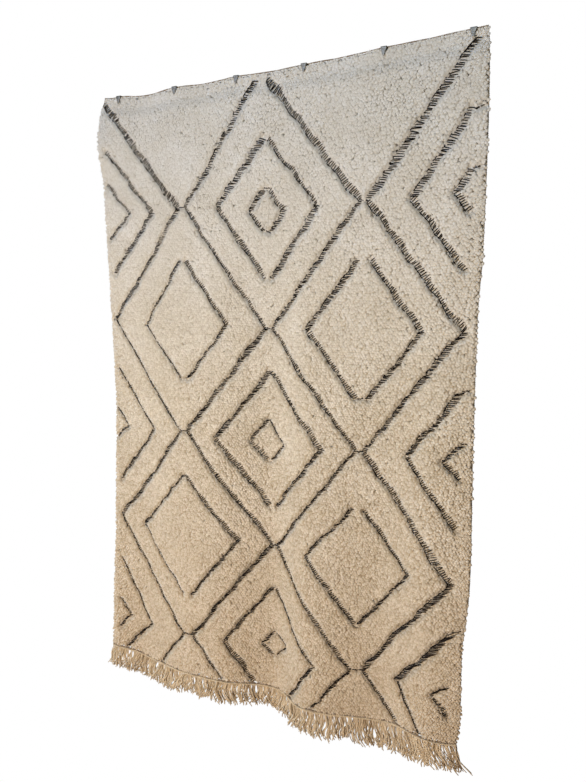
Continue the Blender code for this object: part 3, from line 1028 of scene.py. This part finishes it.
def build_hook(number, box, surface):
    """A hook: steel strip with rounded edges, bent over the rug's edge, its lip folded to a point."""
    low, high = Vector(box[0]), Vector(box[1])
    middle = (low.x + high.x) / 2
    wide = (high.x - low.x) / 2
    path = hook_path(low, high, wide)
    verts = []
    ring = STRIP_POINTS
    for k, (y, z, w) in enumerate(path):
        before, after = path[max(k - 1, 0)], path[min(k + 1, len(path) - 1)]
        along = Vector((after[0] - before[0], after[1] - before[1])).normalized()
        aside = Vector((-along.y, along.x))
        fold = LIP_FOLD * min(1.0, max(0.0, (k - 2 * BEND_STEPS - 3) / 2.0)) * w / wide
        for n in range(ring):
            angle = 2 * math.pi * (n + 0.5) / ring
            x = math.copysign(abs(math.cos(angle)) ** 0.35, math.cos(angle)) * w
            t = math.copysign(min(abs(math.sin(angle)) * 1.6, 1.0), math.sin(angle)) * HALF_STRIP
            push = fold * (1.0 - abs(x) / max(w, 1e-6))
            verts.append((middle + x, y + aside.x * t - push, z + aside.y * t))
    head = np.array([(0, k + 1, k) for k in range(1, ring - 1)])
    tail = np.array([(0, k, k + 1) for k in range(1, ring - 1)]) + (len(path) - 1) * ring
    faces = np.concatenate([ring_faces(len(path), ring), head, tail])[:, ::-1]
    return mesh_piece("steel_hook_%d" % number, np.array(verts), faces, surface)


# ------------ stage, light and camera
def split_by_ray(tree, lit, seen, output):
    """The camera sees the shader seen, and the light on the rug comes from the shader lit."""
    mix = node(tree, "MixShader", Fac=node(tree, "LightPath").outputs["Is Camera Ray"])
    put(tree, mix.inputs[1], lit)
    put(tree, mix.inputs[2], seen)
    fill(tree, tree.nodes[output], Surface=mix.outputs["Shader"])


FLOOR_REACH = 9.0
FLOOR_BELOW = 0.30  # distance from the fringe down to the floor
FLOOR_COLOUR = (0.60, 0.52, 0.43)


def build_stage():
    """A plain pale floor that the camera sees as white."""
    data = bpy.data.meshes.new("floor")
    reach, height = FLOOR_REACH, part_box("fringe")[0][2] - FLOOR_BELOW
    data.from_pydata([(-reach, -reach, height), (reach, -reach, height), (reach, reach, height),
                      (-reach, reach, height)], [], [(0, 1, 2, 3)])
    made, tree, shader = shader_tree("pale_floor", 0.9)
    fill(tree, shader, Base_Color=(*FLOOR_COLOUR, 1.0))
    glow = node(tree, "Emission")
    split_by_ray(tree, shader.outputs["BSDF"], glow.outputs["Emission"], "Material Output")
    data.materials.append(made)
    floor = add_object("floor", data)


AMBIENT = (0.02, 0.02, 0.02)  # what the surroundings give beside the lamps
Lamp = namedtuple("Lamp", "name place aim size spread power colour")
LAMPS = (
    Lamp("front", (-0.6, -3.7, -1.35), (0.0, 0.0, -1.4), 2.0, 180, 126.0, (0.99, 0.86, 0.68)),
    Lamp("left", (-3.4, -1.2, -2.4), (-0.2, 0.0, -2.3), 1.0, 70, 7.0, (0.50, 0.76, 1.00)),
    Lamp("front_high", (-0.7, -3.1, -0.1), (0.1, 0.0, -1.2), 2.0, 180, 43.0, (0.36, 0.58, 1.00)),
    Lamp("top", (1.0, -2.4, 1.4), (0.5, 0.0, -0.6), 1.6, 180, 14.0, (0.80, 0.98, 1.00)),
    Lamp("low_right", (1.9, -2.0, -2.5), (0.2, 0.0, -2.0), 1.2, 180, 5.0, (1.00, 0.75, 0.58)),
    Lamp("behind_left", (-2.2, 3.4, -0.4), (0.0, 0.0, -1.2), 2.0, 180, 110.0, (1.00, 0.95, 0.88)),
    Lamp("behind_right", (2.2, 3.4, -0.8), (0.0, 0.0, -1.2), 2.0, 180, 60.0, (0.90, 0.95, 1.00)),
)


def area_light(name, place, aim, size, spread, power, colour):
    data = bpy.data.lights.new(name, "AREA")
    data.shape = "DISK"
    data.size = size
    data.spread = math.radians(spread)
    data.energy = power
    data.color = colour
    lamp = add_object(name, data)
    lamp.location = place
    lamp.rotation_euler = (Vector(aim) - Vector(place)).to_track_quat("-Z", "Y").to_euler()


def build_light():
    """White surroundings, soft lamps in front, warm in the middle and cool above, two behind the rug."""
    scene = bpy.context.scene
    scene.view_settings.view_transform = "Standard"
    world = bpy.data.worlds.new("white_room")
    world.use_nodes = True
    tree = world.node_tree
    ambient = fill(tree, tree.nodes["Background"], Color=(*AMBIENT, 1.0))
    seen = node(tree, "Background", Strength=1.0, Color=(*WHITE, 1.0))
    split_by_ray(tree, ambient.outputs["Background"], seen.outputs["Background"], "World Output")
    scene.world = world
    for lamp in LAMPS:
        area_light(*lamp)


CAMERA_AZIMUTH = 26.85
CAMERA_ELEVATION = 11.82
CAMERA_ROLL = -0.52
CAMERA_PLACE = (1.2372, -2.2627, -0.6569)
LENS_PER_HEIGHT = 650.0 / 782.0  # focal length as a part of the frame's height
SENSOR = 36.0


def build_camera():
    data = bpy.data.cameras.new("camera")
    data.sensor_width = SENSOR
    data.lens = SENSOR * LENS_PER_HEIGHT
    turn, rise, roll = map(math.radians, (CAMERA_AZIMUTH, CAMERA_ELEVATION, CAMERA_ROLL))
    back = Vector((math.sin(turn) * math.cos(rise), -math.cos(turn) * math.cos(rise), math.sin(rise)))
    level = (-back).cross(Vector((0, 0, 1))).normalized()
    upright = back.cross(level)
    right = level * math.cos(roll) + upright * math.sin(roll)
    up = upright * math.cos(roll) - level * math.sin(roll)
    camera = add_object("camera", data)
    camera.matrix_world = Matrix((right, up, back)).transposed().to_4x4()
    camera.location = CAMERA_PLACE
    bpy.context.scene.camera = camera


def main():
    build_camera()
    build_light()
    build_stage()
    wool, ground, dark, steel = pile_material(), ground_material(), dark_material(), steel_material()
    tan = cord_material("tan_cord", (0.82, 0.68, 0.49), (0.70, 0.56, 0.39), 0.010)
    # brown cord yarn, partly painted shadow under the pile's lower edge and along the top edge
    brown = cord_material("brown_cord", (0.36, 0.27, 0.18), (0.25, 0.18, 0.12), 0.010)
    cream = cord_material("cream_cord", (0.74, 0.65, 0.52), (0.62, 0.54, 0.42), 0.012)
    cloth = build_cloth(ground)
    pile = build_pile(wool)
    bars = build_bars(dark)
    edges = build_line_edges(dark)
    marks = build_back_marks(dark)
    fringe = build_fringe(tan)
    cords = build_edge_cords(tan, brown, cream)
    hooks = [build_hook(n, box, steel) for n, box in enumerate(HOOK_BOXES, 1)]
    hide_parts("rug_body")
    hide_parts("fringe")
    for hook, name in zip(hooks, HOOK_NODES):
        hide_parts(name)


main()
